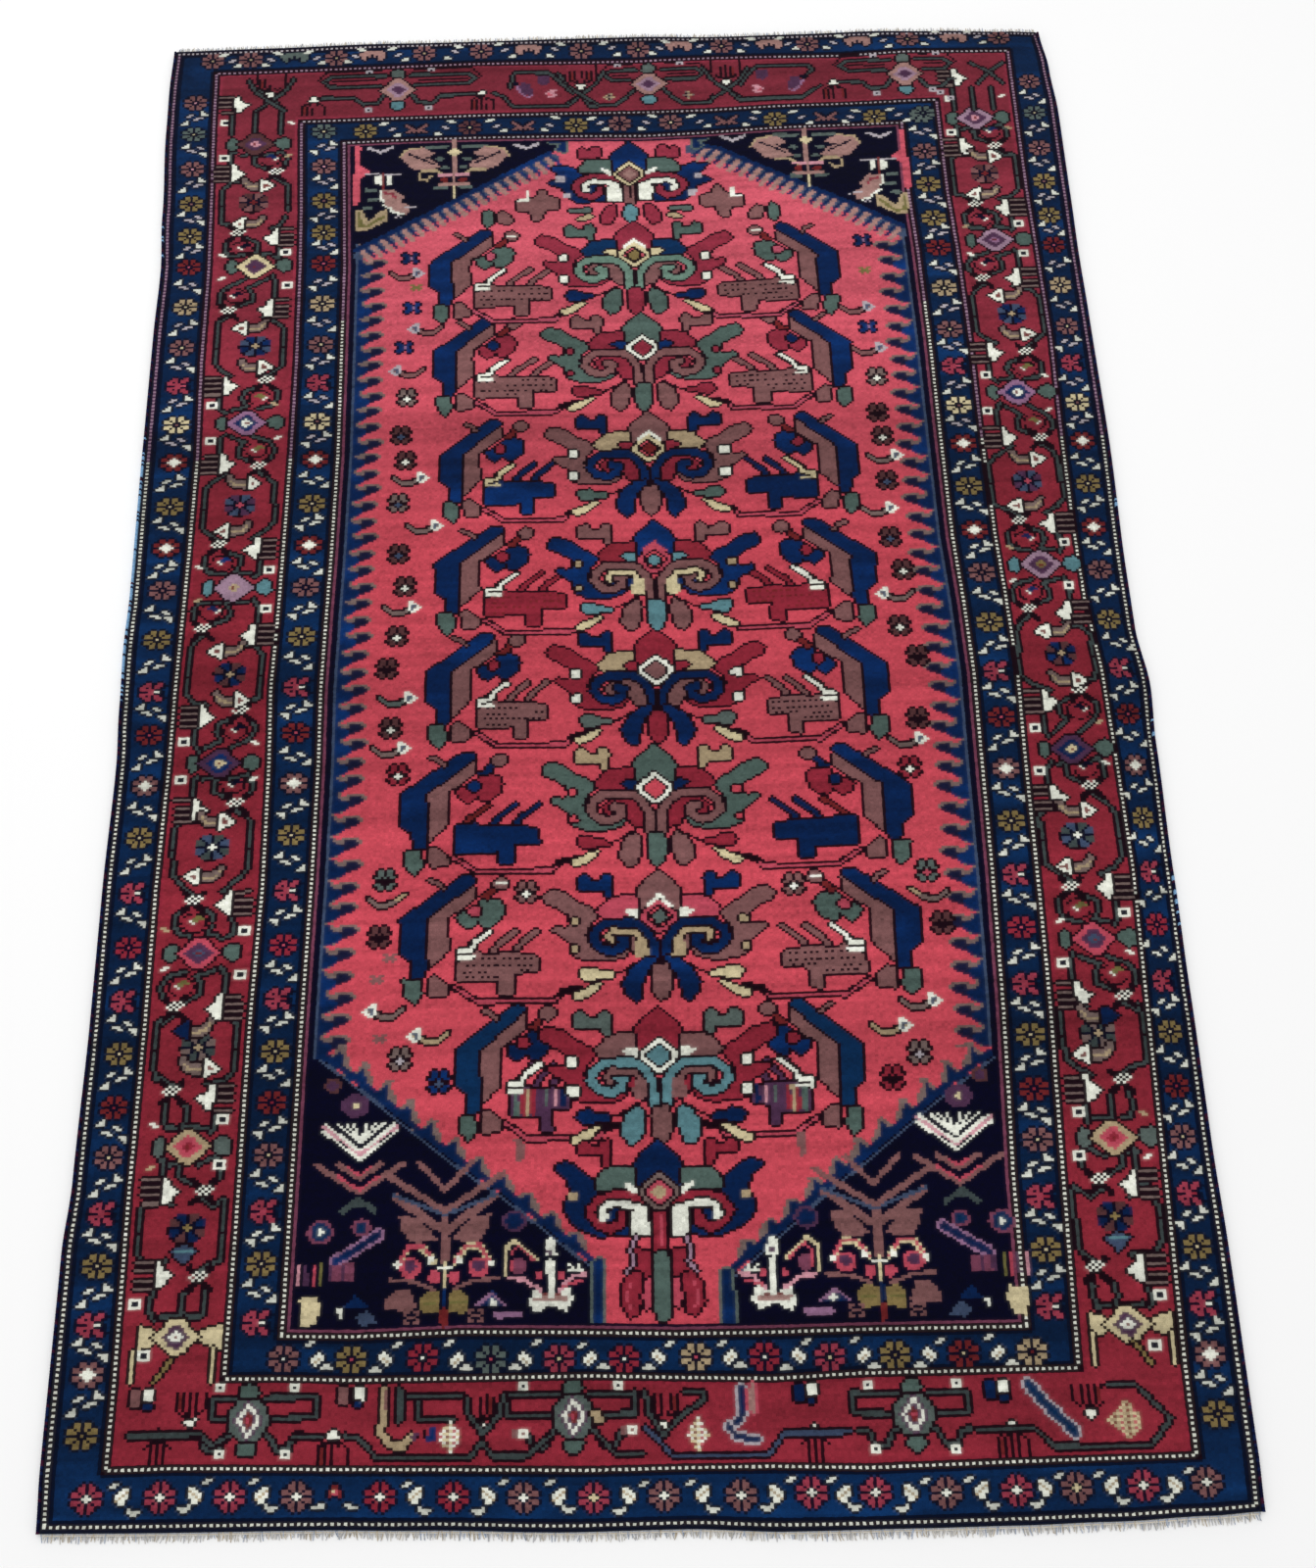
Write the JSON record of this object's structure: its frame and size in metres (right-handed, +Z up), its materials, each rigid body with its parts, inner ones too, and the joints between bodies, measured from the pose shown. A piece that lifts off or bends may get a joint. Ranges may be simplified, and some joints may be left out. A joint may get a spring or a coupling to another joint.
{
  "type": "persian rug",
  "caption": "Hand-knotted wool rug lying flat, with a serrated red field, flowered borders, overcast side cords and a short warp fringe.",
  "frame": {"origin": "on the floor, under the middle of the rug's outer box", "axes": "+X across the rug to the right, +Y along the rug from its foot (the end nearest in the picture) to its head, +Z up out of the pile"},
  "size_m": [1.3171, 2.0334, 0.0089],
  "materials": {
    "wool_pile": "low cut wool pile, matt with a soft sheen, madder red, indigo and many smaller colours",
    "side_cord_wool": "wool overcasting in dark indigo, matt",
    "warp_cotton": "undyed cotton warp ends and web, matt"
  },
  "bodies": {
    "root": {"rug_body": "wool_pile", "selvedge_left": "side_cord_wool", "selvedge_right": "side_cord_wool", "fringe_foot": "warp_cotton", "fringe_head": "warp_cotton"}
  },
  "joints": []
}
